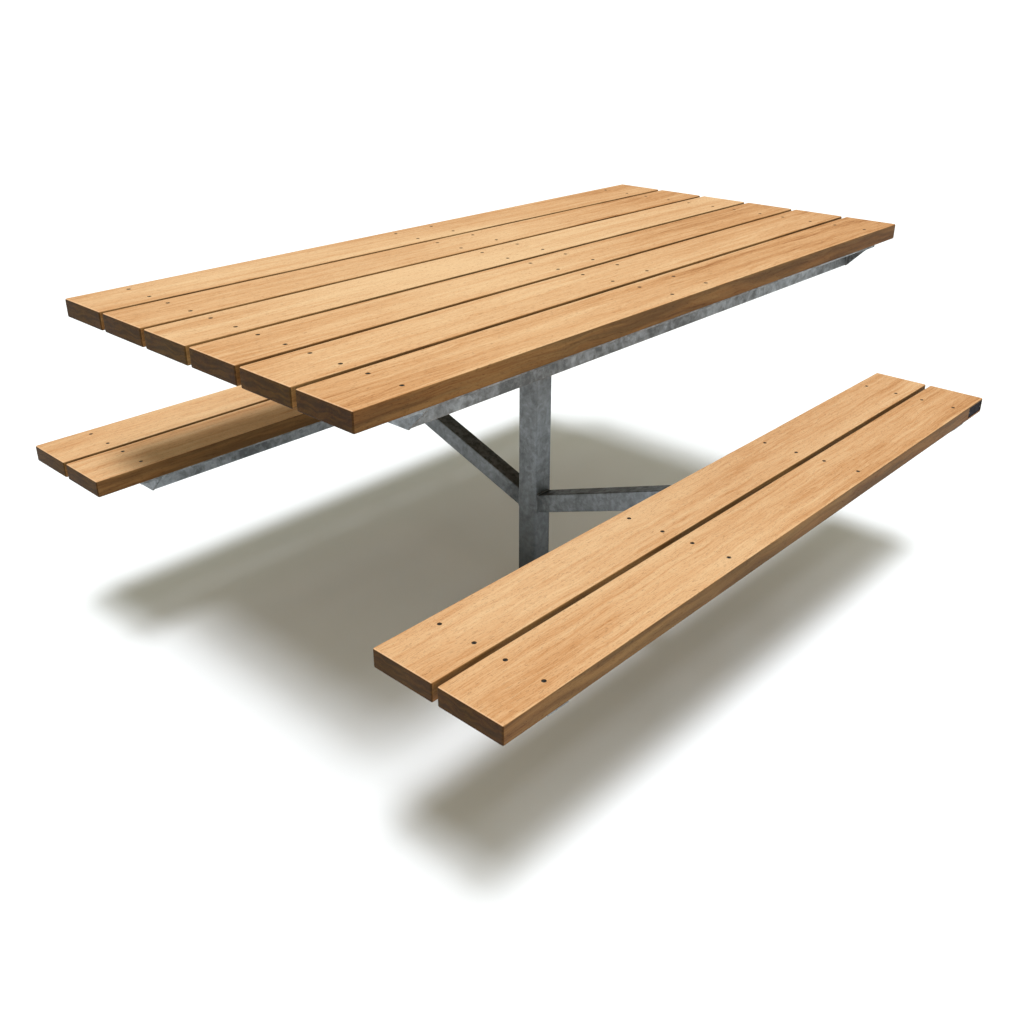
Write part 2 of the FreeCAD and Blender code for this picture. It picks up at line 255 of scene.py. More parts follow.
def turned(levels, limit=None, ring_of_rings=False):
    """Mesh about the Z axis from (radius, height) levels.

    limit(turn) caps the radius, as a hexagon does.
    """
    rings = []
    for radius, height in levels:
        ring = []
        for step in range(TURN_SEGMENTS):
            turn = math.tau * step / TURN_SEGMENTS
            reach = radius if limit is None else min(radius, limit(turn))
            ring.append((reach * math.cos(turn), reach * math.sin(turn), height))
        rings.append(ring)
    return loft(rings, ring_of_rings)


def hexagon(flats):
    """Radius of a hexagon at any turn, from its size across the flats."""
    def limit(turn):
        sixth = math.radians(60)
        return flats / 2 / math.cos(turn % sixth - sixth / 2)
    return limit


def join(meshes):
    """One bmesh from several."""
    whole = bmesh.new()
    for mesh in meshes:
        data = bpy.data.meshes.new("part")
        mesh.to_mesh(data)
        mesh.free()
        whole.from_mesh(data)
        bpy.data.meshes.remove(data)
    return whole


def repeated(mesh, places):
    """One bmesh with a copy of a mesh at each place, given as matrices."""
    data = bpy.data.meshes.new("part")
    mesh.to_mesh(data)
    mesh.free()
    whole = bmesh.new()
    for place in places:
        copy = data.copy()
        copy.transform(place)
        whole.from_mesh(copy)
        bpy.data.meshes.remove(copy)
    bpy.data.meshes.remove(data)
    return whole


def add_object(name, mesh, material=None):
    """Scene object from a bmesh."""
    data = bpy.data.meshes.new(name)
    mesh.to_mesh(data)
    mesh.free()
    made = bpy.data.objects.new(name, data)
    bpy.context.scene.collection.objects.link(made)
    if material is not None:
        data.materials.append(material)
    return made


def smooth(made, angle):
    """Smooth shading, sharp above an angle, with normals that keep flat faces flat."""
    made.data.polygons.foreach_set("use_smooth", [True] * len(made.data.polygons))
    made.data.set_sharp_from_angle(angle=math.radians(angle))
    weighted = made.modifiers.new("flat_faces", "WEIGHTED_NORMAL")
    weighted.keep_sharp = True
    weighted.weight = 100


def cut_away(made, cutters):
    """Cut a closed mesh out of an object."""
    cutter = add_object("cutter", cutters)
    cut = made.modifiers.new("cut", "BOOLEAN")
    cut.object = cutter
    cut.solver = "EXACT"
    shown = made.evaluated_get(bpy.context.evaluated_depsgraph_get())
    made.data = bpy.data.meshes.new_from_object(shown)
    made.modifiers.clear()
    bpy.data.objects.remove(cutter)


def as_piece(made, material_slot, *nodes):
    """Make an object a piece of the table, standing for some CAD nodes."""
    if nodes:
        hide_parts(*nodes)
    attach(made, ROOT)


# ---------------------------------------------------------------- timber

WOOD_PALE = colour(209, 172, 129)
WOOD_BODY = colour(198, 154, 110)
WOOD_WARM = colour(184, 134, 88)
WOOD_DARK = colour(152, 101, 58)
WOOD_PORE = colour(96, 58, 30)
# pale rubbed top arrises of the sawn ends, partly wear and partly a painted highlight
WOOD_WORN_AND_HIGHLIGHT = colour(226, 184, 146)
# painted shade multiplied into the plank edges: the outer edges, and the edges in the gaps between planks
WOOD_EDGE_SHADE = (0.27, 0.232, 0.155)
WOOD_GAP_SHADE = (0.34, 0.29, 0.19)
# darker end grain of the sawn ends, deepened with painted shade
WOOD_END_GRAIN_AND_SHADE = (0.092, 0.067, 0.013)
# painted shade on the plank undersides
WOOD_UNDER_SHADE = (0.62, 0.56, 0.50)
WOOD_WORN_AND_HIGHLIGHT_SHARE = 0.45
WOOD_SPECULAR = 0.12

WOOD_BANDS = (62.0, 0.7)         # bands in a metre outwards, and how fast they change along the plank
WOOD_FINE_BANDS = (330.0, 1.6)
WOOD_STREAKS = (24.0, 0.5)
# size along and across the grain, detail and roughness of the other figure
WOOD_CLOUD = ((1.7, 7.0, 7.0), 2.0, 0.5)
WOOD_RIBBON = ((1.6, 110.0, 110.0), 3.0, 0.55)
WOOD_FIBRE = ((13.0, 420.0, 420.0), 4.0, 0.65)
WOOD_PORES = ((95.0, 800.0, 800.0), 2.0, 0.5)
WOOD_SPECK = ((310.0, 480.0, 480.0), 3.0, 0.7)
WOOD_EDGE_STAIN = ((3.0, 60.0, 60.0), 3.0, 0.6)
WOOD_END_LINES = ((0.0, 22.0, 230.0), 2.0, 0.5)

PITH_SIDE = 0.05                 # the tree's centre line, from the plank's: sideways, below and askew
PITH_BELOW = 0.11
PITH_BELOW_WANDER = 0.03
PITH_TILT = 0.03
PALEST_X = -0.18                 # the planks are palest here, and darken towards both ends
PALEST_REACH = (0.10, 0.90)
PALEST_LEVEL = 0.70
DARKEST_LEVEL = 0.45


def grain(g, centre, seed):
    """Coordinates in a plank with X along its grain, different for each seed and gently bent."""
    where = g.node("ShaderNodeTexCoord")
    local = g.vector("ADD", where.outputs["Object"], (seed * 3.71, seed * 0.013 - centre.y, -centre.z))
    bend = g.node("ShaderNodeTexNoise", {"Vector": g.scaled(local, (1.3, 5.0, 5.0)), "Detail": 2.0})
    step = g.vector("SUBTRACT", bend.outputs["Color"], (0.5, 0.5, 0.5))
    return where, g.vector("ADD", local, g.scaled(step, (0.0, 0.022, 0.022)))


def growth_layers(g, local, seed):
    """A function that gives noise coordinates outwards through the tree's growth layers."""
    split = g.node("ShaderNodeSeparateXYZ", {"Vector": local})
    pith_y = g.math("ADD", split.outputs["Y"], PITH_SIDE * math.sin(seed * 1.7))
    askew = g.math("MULTIPLY", split.outputs["X"], PITH_TILT * math.sin(seed * 2.3))
    pith_y = g.math("ADD", pith_y, askew)
    pith_z = g.math("ADD", split.outputs["Z"], PITH_BELOW + PITH_BELOW_WANDER * math.cos(seed))
    squares = g.math("ADD", g.math("POWER", pith_y, 2.0), g.math("POWER", pith_z, 2.0))
    radius = g.math("POWER", squares, 0.5)

    def layers(density, stretch):
        along = g.math("MULTIPLY", split.outputs["X"], stretch)
        at = {"X": g.math("MULTIPLY", radius, density), "Y": along, "Z": seed * 1.9}
        return g.node("ShaderNodeCombineXYZ", at).outputs[0]

    return layers


def face_masks(g, normal):
    """Masks of a plank's upright faces, sawn ends, rubbed top arrises of its ends, underside and -Y side,
    where painted shade and a painted highlight go.
    """
    facing = g.node("ShaderNodeSeparateXYZ", {"Vector": normal})
    up, across = facing.outputs["Z"], g.math("ABSOLUTE", facing.outputs["X"])
    upright = g.math("MULTIPLY", g.range(up, 0.45, 0.80, 1.0, 0.0), g.range(up, -0.98, -0.88))
    ends = g.math("MULTIPLY", upright, g.range(across, 0.25, 0.60))
    end_arris = g.range(across, 0.25, 0.55, 0.0, WOOD_WORN_AND_HIGHLIGHT_SHARE)
    worn_and_highlight = g.math("MULTIPLY", g.range(up, 0.45, 0.75), end_arris)
    under = g.range(up, -0.9, -0.3, 1.0, 0.0)
    front = g.range(facing.outputs["Y"], -0.1, 0.1, 1.0, 0.0)
    return upright, ends, worn_and_highlight, under, front


def timber(name, centre, seed, looks, edge_shades):
    """Oiled hardwood for one plank: growth layers, fibres, pores, darker end grain, painted shade on its
    edges, sawn ends and underside, and a painted highlight on the rubbed top arrises of its ends.

    looks are its tone and the depth of its dark streaks.
    The last argument holds the painted shade of the edges that face -Y and +Y.
    """
    tone, streak = looks
    material, g = new_material(name)
    where, local = grain(g, centre, seed)
    layers = growth_layers(g, local, seed)

    def banded(figure, detail, roughness):
        return g.noise(layers(*figure), 1.0, detail, roughness)

    def figured(figure):
        size, detail, roughness = figure
        return g.noise(g.scaled(local, size), 1.0, detail, roughness)

    def tinted(below, tint):
        return g.mix(1.0, below, tint, "MULTIPLY")

    cloud, fibre, pores = figured(WOOD_CLOUD), figured(WOOD_FIBRE), figured(WOOD_PORES)
    along = g.node("ShaderNodeSeparateXYZ", {"Vector": where.outputs["Object"]}).outputs["X"]
    from_palest = g.math("ABSOLUTE", g.math("SUBTRACT", along, PALEST_X))
    level = g.range(from_palest, *PALEST_REACH, PALEST_LEVEL + tone, DARKEST_LEVEL + tone)
    parts = (
        (banded(WOOD_BANDS, 2.0, 0.5), 0.7), (banded(WOOD_FINE_BANDS, 2.0, 0.5), 0.4),
        (cloud, 0.9), (figured(WOOD_RIBBON), 0.8), (fibre, 1.1),
    )
    for part, share in parts:
        level = g.math("ADD", g.math("MULTIPLY", g.math("SUBTRACT", part, 0.5), share), level)
    streaks = g.range(banded(WOOD_STREAKS, 1.0, 0.4), 0.60, 0.70, 0.0, streak)
    level = g.math("SUBTRACT", level, streaks)
    base = g.ramp(level, [(0.0, WOOD_DARK), (0.30, WOOD_WARM), (0.60, WOOD_BODY), (1.0, WOOD_PALE)])
    pore_mask = g.range(pores, 0.58, 0.70, 0.0, 0.42)
    base = g.mix(pore_mask, base, opaque(WOOD_PORE))
    base = g.mix(g.range(figured(WOOD_SPECK), 0.57, 0.70, 0.0, 0.42), base, opaque(WOOD_PORE))

    upright, ends, worn_and_highlight, under, front = face_masks(g, where.outputs["Normal"])
    # painted shade on the upright edges, darker outside than in the gaps
    edge_shade = g.mix(front, opaque(edge_shades[1]), opaque(edge_shades[0]))
    stain = g.range(figured(WOOD_EDGE_STAIN), 0.36, 0.66, 0.72, 1.28)
    shaded_edge_base = tinted(tinted(base, edge_shade), stain)
    # painted shade on the underside
    base = g.mix(under, base, tinted(base, opaque(WOOD_UNDER_SHADE)))
    lines = g.range(figured(WOOD_END_LINES), 0.36, 0.64, 0.74, 1.26)
    # sawn ends: darker end grain and painted shade
    end_grain_and_shade_base = tinted(tinted(base, opaque(WOOD_END_GRAIN_AND_SHADE)), lines)
    base = g.mix(upright, base, shaded_edge_base)
    base = g.mix(ends, base, end_grain_and_shade_base)
    # pale top arrises of the ends: rubbed wood and a painted highlight
    base = g.mix(worn_and_highlight, base, opaque(WOOD_WORN_AND_HIGHLIGHT))

    relief = g.math("ADD", g.math("MULTIPLY", fibre, 0.6), g.math("MULTIPLY", pore_mask, -1.0))
    gloss = g.range(cloud, 0.3, 0.7, 0.56, 0.66)
    finish_material(g, {
        "Base Color": base, "Normal": g.bump(relief, 0.0004, 0.40), "Specular IOR Level": WOOD_SPECULAR,
        "Roughness": g.math("ADD", gloss, g.math("MULTIPLY", pore_mask, 0.2)),
    })
    return material


def rounded_outline(half_across, half_up, radius, steps):
    """Corner points of a rounded rectangle, anticlockwise."""
    points = []
    for quarter, (side, level) in enumerate(((1, 1), (-1, 1), (-1, -1), (1, -1))):
        for step in range(steps + 1):
            turn = math.radians(90) * (quarter + step / steps)
            points.append((side * (half_across - radius) + radius * math.cos(turn),
                           level * (half_up - radius) + radius * math.sin(turn)))
    return points


def islands(node):
    """Lowest and highest corner of each separate solid in a CAD group."""
    mesh = bmesh.new()
    mesh.from_mesh(frame["nodes"][node].data)
    bmesh.ops.remove_doubles(mesh, verts=mesh.verts, dist=MERGED)
    waiting = set(mesh.verts)
    boxes = []
    while waiting:
        found, edge = set(), [next(iter(waiting))]
        while edge:
            vertex = edge.pop()
            if vertex in found:
                continue
            found.add(vertex)
            edge += [link.other_vert(vertex) for link in vertex.link_edges]
        waiting -= found
        boxes.append((Vector([min(v.co[axis] for v in found) for axis in range(3)]),
                      Vector([max(v.co[axis] for v in found) for axis in range(3)])))
    mesh.free()
    return sorted(boxes, key=lambda pair: tuple(pair[0]))


def make_plank(node, screws, seed, material):
    """A plank with hand-eased arrises and sunk screw holes, inside its CAD box."""
    low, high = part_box(node)
    middle, half = centre_of(node), size_of(node) / 2
    arris, steps = TIMBER_ARRIS, TIMBER_ARRIS_STEPS
    end_steps = [arris * (1 - math.cos(math.radians(90) * step / steps)) for step in range(steps + 1)]
    count = round(size_of(node).x / TIMBER_STATION)
    inner = [low[0] + arris + (high[0] - low[0] - 2 * arris) * step / count for step in range(1, count)]
    stations = [low[0] + step for step in end_steps] + inner
    stations += [high[0] - step for step in reversed(end_steps)]
    rings = []
    for x in stations:
        from_end = min(x - low[0], high[0] - x)
        inset = 0.0
        if from_end < arris:
            inset = arris - math.sqrt(max(0.0, arris ** 2 - (arris - from_end) ** 2))
        wander = noise.noise(Vector((x * 9.0, seed * 5.3, 0.0)))
        radius = max(0.15 * MM, arris - inset + TIMBER_ARRIS_WANDER * wander * (1 - inset / arris))
        outline = rounded_outline(half.y - inset, half.z - inset, radius, steps)
        rings.append([(x, middle.y + y, middle.z + z) for y, z in outline])
    board = add_object(node + "_board", loft(rings), material)

    drop = SINK_MOUTH_RADIUS - SINK_HOLE_RADIUS
    sink = turned([(SINK_MOUTH_RADIUS, 2 * MM), (SINK_MOUTH_RADIUS, -SCREW_SINK),
                   (SINK_HOLE_RADIUS, -SCREW_SINK - drop), (SINK_HOLE_RADIUS, -2 * half.z - 2 * MM)])
    cut_away(board, repeated(sink, [Matrix.Translation((place.x, place.y, high[2])) for place in screws]))
    return board


# tone of each plank, and the depth of its dark streaks
LOOKS = {
    "table_plank_1": (-0.12, 0.22), "table_plank_2": (-0.03, 0.12), "table_plank_3": (-0.06, 0.12),
    "table_plank_4": (0.22, 0.10), "table_plank_5": (-0.05, 0.18), "table_plank_6": (0.03, 0.12),
    "front_bench_plank_1": (0.06, 0.12), "front_bench_plank_2": (0.01, 0.16),
    "rear_bench_plank_1": (0.00, 0.18), "rear_bench_plank_2": (0.08, 0.14),
}


def edge_shades(node):
    """Painted shade for a plank's edges that face -Y and +Y: darker outside, warmer in the gaps."""
    top = node.split("_plank")[0]
    boxes = [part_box(other) for other in LOOKS if other.startswith(top + "_plank")]
    low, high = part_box(node)
    outside = (low[1] == min(box[0][1] for box in boxes), high[1] == max(box[1][1] for box in boxes))
    return [WOOD_EDGE_SHADE if outer else WOOD_GAP_SHADE for outer in outside]


def make_timber():
    """Every plank of the tabletop and the benches."""
    screws = {}
    for top in ("table", *BENCHES):
        screws[top] = [(low + high) / 2 for low, high in islands(top + "_screws")]
    for seed, (node, looks) in enumerate(LOOKS.items(), start=1):
        low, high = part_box(node)
        own = [place for place in screws[node.split("_plank")[0]] if low[1] < place.y < high[1]]
        material = timber("timber_" + node, centre_of(node), seed, looks, edge_shades(node))
        board = make_plank(node, own, seed, material)
        if node == "front_bench_plank_2":
            cut_away(board, plate_pocket())
        smooth(board, 50)
        as_piece(board, "timber", node)


# ---------------------------------------------------------------- blank plate

def plate_rings(levels):
    """Rings round the blank plate from (inset, depth) levels; depth is measured into the plank."""
    low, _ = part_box("name_plate")
    middle, half = centre_of("name_plate"), size_of("name_plate") / 2
    rings = []
    for inset, depth in levels:
        radius = max(PLATE_EASE, PLATE_CORNER_RADIUS - inset)
        outline = rounded_outline(half.x - inset, half.z - inset, radius, 5)
        rings.append([(middle.x + x, low[1] + depth, middle.z + z) for x, z in outline])
    return rings


def plate_pocket():
    """Cutter for the plate's pocket in the plank's edge."""
    thickness = size_of("name_plate").y
    return loft(plate_rings([(-POCKET_MARGIN, -5 * MM), (-POCKET_MARGIN, thickness)]))


def make_plate():
    """Blank plate with a raised rim, and its two round-headed pins."""
    thickness, ease = size_of("name_plate").y, PLATE_EASE
    levels = [(0.0, thickness), (0.0, ease), (ease, 0.0), (PLATE_RIM, 0.0),
              (PLATE_RIM + ease, PLATE_FIELD_DEPTH), (PLATE_RIM + 3 * ease, PLATE_FIELD_DEPTH)]
    plate = add_object("blank_plate", loft(plate_rings(levels)), dark_plate("plate"))
    smooth(plate, 30)
    as_piece(plate, "name_plate", "name_plate")

    pins = []
    for low, high in islands("name_plate_pins"):
        head, middle = (high.x - low.x) / 2, (low + high) / 2
        length = high.y - low.y
        levels = [(0.15 * MM, 0.0), (0.45 * head, -0.03 * MM), (0.8 * head, -0.2 * MM), (head, -0.5 * MM),
                  (head, -0.75 * MM), (PIN_RADIUS, -0.8 * MM), (PIN_RADIUS, -length)]
        # +Z of the turned pin points out of the plank, towards -Y
        place = Matrix.Translation((middle.x, low.y, middle.z)) @ Matrix.Rotation(math.radians(90), 4, "X")
        pins.append(repeated(turned(levels), [place]))
    pin_heads = add_object("plate_pins", join(pins), worn_steel("pin_steel", 0.5))
    smooth(pin_heads, 50)
    as_piece(pin_heads, "fasteners", "name_plate_pins")


# ---------------------------------------------------------------- steel

ZINC_PALE = colour(157, 163, 169)
ZINC_BODY = colour(130, 134, 138)
ZINC_DARK = colour(99, 103, 106)
ZINC_STAIN = colour(58, 61, 61)
# painted shade for upward faces, such as the arms' tops under the tabletop
ZINC_LEDGE_SHADE = colour(53, 54, 51)
JOINT_FROM = 24.0 * MM           # heat-dulled zinc with painted shade beside an arm's weld, from the post's centre line
JOINT_TO = 78.0 * MM
FOOT_FROM = 120.0 * MM           # the post darkens below the second of these heights, down to the first
FOOT_TO = 380.0 * MM
ZINC_METALLIC = 0.6


def zinc(name, seed, contrast=1.0, heat=0.0, joint=0.0, foot=0.0):
    """Hot-dip galvanised steel: faint crystals, clouds, runs, and painted shade on its upward faces.

    heat dulls all of it, joint darkens it beside an arm's weld with heat stain and painted shade, and foot
    darkens the bottom of the post.
    """
    material, g = new_material(name)
    where = g.node("ShaderNodeTexCoord")
    local = g.vector("ADD", where.outputs["Object"], (seed, seed * 0.7, seed * 0.3))
    bend = g.node("ShaderNodeTexNoise", {"Vector": local, "Scale": 55.0, "Detail": 3.0})
    bent = g.vector("ADD", local, g.scaled(bend.outputs["Color"], (0.02, 0.02, 0.02)))
    crystals = g.node("ShaderNodeTexVoronoi", {"Vector": bent, "Scale": 110.0, "Randomness": 1.0})
    crystal_tone = g.node("ShaderNodeSeparateColor", {"Color": crystals.outputs["Color"]}).outputs["Red"]
    cloud = g.noise(local, 9.0, 4.0, 0.6)
    mottle = g.noise(bent, 80.0, 4.0, 0.6)
    runs = g.noise(g.scaled(local, (55.0, 55.0, 9.0)), 1.0, 3.0, 0.6)
    grit = g.noise(local, 620.0, 3.0, 0.65)

    tone = 0.5
    shares = ((crystal_tone, 0.10), (cloud, 0.8), (mottle, 0.7), (runs, 0.35), (grit, 0.25))
    for part, share in shares:
        swing = g.math("MULTIPLY", g.math("SUBTRACT", part, 0.5), contrast * share)
        tone = g.math("ADD", swing, tone)
    stain = opaque(ZINC_STAIN)
    base = g.ramp(tone, [(0.22, ZINC_DARK), (0.50, ZINC_BODY), (0.82, ZINC_PALE)])
    base = g.mix(g.range(cloud, 0.58, 0.78, 0.0, 0.45), base, stain)
    base = g.mix(heat, base, stain)
    place = g.node("ShaderNodeSeparateXYZ", {"Vector": where.outputs["Object"]})
    if joint:
        out = g.math("ABSOLUTE", place.outputs["Y"])
        ragged = g.math("ADD", out, g.math("MULTIPLY", g.math("SUBTRACT", mottle, 0.5), 0.05))
        # heat stain and painted shade beside the arm's weld
        base = g.mix(g.range(ragged, JOINT_FROM, JOINT_TO, joint, 0.0), base, stain)
    if foot:
        base = g.mix(g.range(place.outputs["Z"], FOOT_FROM, FOOT_TO, foot, 0.0, smooth=False), base, stain)
    up = g.node("ShaderNodeSeparateXYZ", {"Vector": where.outputs["Normal"]}).outputs["Z"]
    # painted shade: upward faces darkened, as under the tabletop
    ledge_shade = g.math("MULTIPLY", g.range(up, 0.5, 0.9), g.range(mottle, 0.36, 0.58, 1.0, 0.75))
    base = g.mix(ledge_shade, base, opaque(ZINC_LEDGE_SHADE))
    rough = g.math("ADD", g.range(tone, 0.3, 0.8, 0.60, 0.46), g.math("MULTIPLY", grit, 0.10))
    relief = g.math("ADD", g.math("MULTIPLY", mottle, 0.6), g.math("MULTIPLY", grit, 0.25))
    relief = g.math("ADD", relief, g.math("MULTIPLY", runs, 0.6))
    finish_material(g, {
        "Base Color": base, "Metallic": ZINC_METALLIC, "Roughness": rough,
        "Normal": g.bump(relief, 0.0006, 0.35),
    })
    return material


def worn_steel(name, shade=1.0):
    """Weathered stainless steel of the fasteners."""
    material, g = new_material(name)
    where = g.node("ShaderNodeTexCoord").outputs["Object"]
    tarnish = g.noise(where, 700.0, 3.0, 0.6)
    scratches = g.noise(g.scaled(where, (900.0, 4000.0, 900.0)), 1.0, 2.0, 0.5)
    dull = tuple(shade * value for value in colour(92, 86, 78))
    bright = tuple(shade * value for value in colour(158, 156, 150))
    base = g.ramp(tarnish, [(0.35, dull), (0.62, bright)])
    rough = g.range(tarnish, 0.3, 0.7, 0.36, 0.6)
    normal = g.bump(scratches, 0.0001, 0.3)
    finish_material(g, {"Base Color": base, "Metallic": 0.9, "Roughness": rough, "Normal": normal})
    return material


def dark_plate(name):
    """Dark satin finish of the blank plate."""
    material, g = new_material(name)
    where = g.node("ShaderNodeTexCoord").outputs["Object"]
    brushing = g.noise(g.scaled(where, (60.0, 3000.0, 3000.0)), 1.0, 3.0, 0.6)
    dust = g.noise(where, 160.0, 4.0, 0.6)
    base = g.ramp(dust, [(0.40, colour(14, 12, 16)), (0.72, colour(36, 33, 40))])
    rough = g.range(brushing, 0.3, 0.7, 0.50, 0.62)
    finish_material(g, {"Base Color": base, "Roughness": rough, "Specular IOR Level": 0.03,
                        "Normal": g.bump(brushing, 0.0001, 0.25)})
    return material


def dress_steel():
    """Materials and eased edges for the steel nodes that stay."""
    frame_zinc = zinc("zinc_frames", 1.0, contrast=1.6)
    arm_zinc = zinc("zinc_arms", 2.6, heat=0.14, joint=0.6)
    post_zinc = zinc("zinc_post", 4.1, heat=0.08, foot=0.78)
    for part in frame["record"]["subparts"]:
        node = part["node"]
        if part["material_slot"] != "galvanised_steel":
            continue
        steel = frame_zinc
        if node.endswith(("_arm", "_seat_tube", "_seat_tube_cap")):
            steel = arm_zinc
        elif node.startswith(("post", "base")):
            steel = post_zinc
        made = frame["nodes"][node]
        for holder in made.material_slots:
            holder.material = steel
        weld = made.modifiers.new("weld", "WELD")
        weld.merge_threshold = MERGED
        ease = made.modifiers.new("ease", "BEVEL")
        ease.width = STEEL_EASE
        ease.segments = 2
        ease.limit_method = "ANGLE"
        ease.angle_limit = math.radians(EASE_ANGLE)
        ease.use_clamp_overlap = True
        ease.harden_normals = True


# ---------------------------------------------------------------- welds

def bead(path, radius, closed, seed):
    """Rippled weld along a polyline."""
    points = path + path[:1] if closed else path
    stations = []
    step = WELD_RIPPLE / WELD_RIPPLE_STEPS
    for start, end in zip(points, points[1:]):
        count = max(1, round((end - start).length / step))
        stations += [start.lerp(end, index / count) for index in range(count)]
    if not closed:
        stations.append(points[-1])
    rings, travelled = [], 0.0
    for index, here in enumerate(stations):
        before = stations[index - 1] if index or closed else here
        after = stations[(index + 1) % len(stations)] if index + 1 < len(stations) or closed else here
        along = (after - before).normalized()
        side = side - along * side.dot(along) if rings else along.orthogonal()
        side.normalize()
        rise = along.cross(side)
        travelled += (here - before).length
        swell = 1 + WELD_RIPPLE_SHARE * math.sin(math.tau * travelled / WELD_RIPPLE)
        swell += WELD_WANDER_SHARE * noise.noise(Vector((travelled * 90.0, seed * 3.1, 0.0)))
        from_tip = min(index, len(stations) - 1 - index)
        taper = 1.0 if closed else min(1.0, WELD_TIP_SHARE + from_tip / WELD_TIP_STATIONS)
        reach = radius * swell * taper
        turns = (math.tau * corner / WELD_CORNERS for corner in range(WELD_CORNERS))
        rings.append([here + reach * (math.cos(turn) * side + math.sin(turn) * rise) for turn in turns])
    return loft(rings, ring_of_rings=closed)


def outline_of(points, across, up):
    """Outer loop of some points that lie in the plane of two axes."""
    flat = [(point.dot(across), point.dot(up)) for point in points]
    return [points[index] for index in geometry.convex_hull_2d(flat)]


def bar_end_beads(node):
    """Upright welds on both faces of an angle's hanging leg, at both of its ends."""
    low, high = (Vector(corner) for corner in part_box(node))
    run, across = (0, 1) if high.x - low.x > high.y - low.y else (1, 0)
    if "middle_bearer" in node:
        run, across = 1, 0
    toe = [point[across] for point in corners_of(node) if point.z < low.z + 0.5 * MM]
    outward = 1 if sum(toe) / len(toe) < (low[across] + high[across]) / 2 else -1
    heel = low[across] if outward > 0 else high[across]
    margin = 2 * MM
    beads = []
    faces = ((heel, high.z - margin), (heel + outward * ANGLE_WALL, high.z - ANGLE_WALL - 4 * margin))
    for end in (low[run], high[run]):
        for face, top in faces:
            foot = Vector((0, 0, low.z + margin))
            foot[run], foot[across] = end, face
            head = foot.copy()
            head.z = top
            beads.append(bead([foot, head], WELD_RADIUS, False, len(beads) + end * 40 + face * 90))
    return beads


def make_welds():
    """Weld beads where the bars, tubes and plates of the frames meet."""
    steel = zinc("zinc_welds", 6.3, heat=0.35)
    x_axis, y_axis, z_axis = Vector((1, 0, 0)), Vector((0, 1, 0)), Vector((0, 0, 1))
    nodes = [node for node in frame["nodes"] if "_rail" in node or "middle_bearer" in node]
    for top in ("table", *BENCHES):
        beads = [made for node in nodes if node.startswith(top) for made in bar_end_beads(node)]
        if top in BENCHES:
            arm, seat_tube = corners_of(top + "_arm"), corners_of(top + "_seat_tube")
            cap = corners_of(top + "_seat_tube_cap")
            nearest = min(abs(point.y) for point in arm)
            foot = [point for point in arm if abs(point.y) < nearest + TOUCHING]
            beads.append(bead(outline_of(foot, x_axis, z_axis), WELD_RADIUS, True, 1))
            knee = [point for point in arm
                    if min((point - other).length for other in seat_tube) < TOUCHING]
            beads.append(bead(outline_of(knee, x_axis, z_axis), KNEE_WELD_RADIUS, True, 2))
            nearest = min(abs(point.y) for point in cap)
            rim = [point for point in cap if abs(point.y) < nearest + TOUCHING]
            beads.append(bead(outline_of(rim, x_axis, z_axis), CAP_WELD_RADIUS, True, 3))
        piece = add_object(top + "_frame_welds", join(beads), steel)
        smooth(piece, 80)
        as_piece(piece, "galvanised_steel")

    post = corners_of("post")
    lowest = min(point.z for point in post)
    foot = [point for point in post if point.z < lowest + TOUCHING]
    beads = [bead(outline_of(foot, x_axis, y_axis), FOOT_WELD_RADIUS, True, 4)]
    for quarter in range(4):
        turn = Matrix.Rotation(math.radians(90 * quarter), 3, "Z")
        for side in (-1, 1):
            ends = [Vector((out, side * GUSSET_HALF_THICKNESS, lowest)) for out in (GUSSET_FROM, GUSSET_TO)]
            beads.append(bead([turn @ end for end in ends], WELD_RADIUS, False, 5 + quarter + side))
    piece = add_object("base_welds", join(beads), steel)
    smooth(piece, 80)
    as_piece(piece, "galvanised_steel")


# ---------------------------------------------------------------- fasteners

def threaded(radius, start, end, pitch, depth):
    """Levels of a threaded end, from its top down to its chamfered tip."""
    levels, height = [], start
    while height - pitch > end + pitch:
        levels += [(radius, height), (radius - depth, height - pitch / 2)]
        height -= pitch
    return levels + [(radius, height), (radius, end + depth), (radius - depth, end)]


def screw_mesh(length):
    """Sunk screw pointing down, its head's top at the origin; its six-lobed socket is cut afterwards."""
    rim = SCREW_HEAD_RADIUS
    cone = rim - SCREW_RADIUS
    thread = threaded(SCREW_RADIUS, THREAD_SHOWING - length, -length, THREAD_PITCH, THREAD_DEPTH)
    land = 0.25 * MM
    outside = [(rim - land, 0.0), (rim, -0.12 * MM), (rim, -land), (SCREW_RADIUS, -land - cone)]
    return turned(list(reversed(outside + thread)))


def socket_cutter():
    """Cutter for a six-lobed socket."""
    def lobed(scale, height):
        ring = []
        for step in range(SOCKET_SEGMENTS):
            turn = math.tau * step / SOCKET_SEGMENTS
            reach = scale * (SOCKET_RADIUS + SOCKET_LOBE * math.cos(6 * turn))
            ring.append((reach * math.cos(turn), reach * math.sin(turn), height))
        return ring
    return loft([lobed(1.0, 1 * MM), lobed(1.0, -SOCKET_DEPTH), lobed(0.4, -SOCKET_DEPTH - 0.3 * MM)])


def nut_mesh(flats, height, bore):
    """Lock nut standing on the origin downwards: chamfered hexagon, collar and bore."""
    corner = flats / math.sqrt(3)
    chamfer = corner - flats / 2
    body = 0.68 * height
    outside = [(flats / 2, 0.0), (corner, -chamfer * 0.6), (corner, chamfer * 0.5 - body),
               (flats / 2 * 0.97, -body), (flats / 2 * 0.93, 0.12 * height - height),
               (flats / 2 * 0.80, -height)]
    inside = [(bore, -height), (bore, 0.0)]
    return turned(outside + inside, hexagon(flats), ring_of_rings=True)


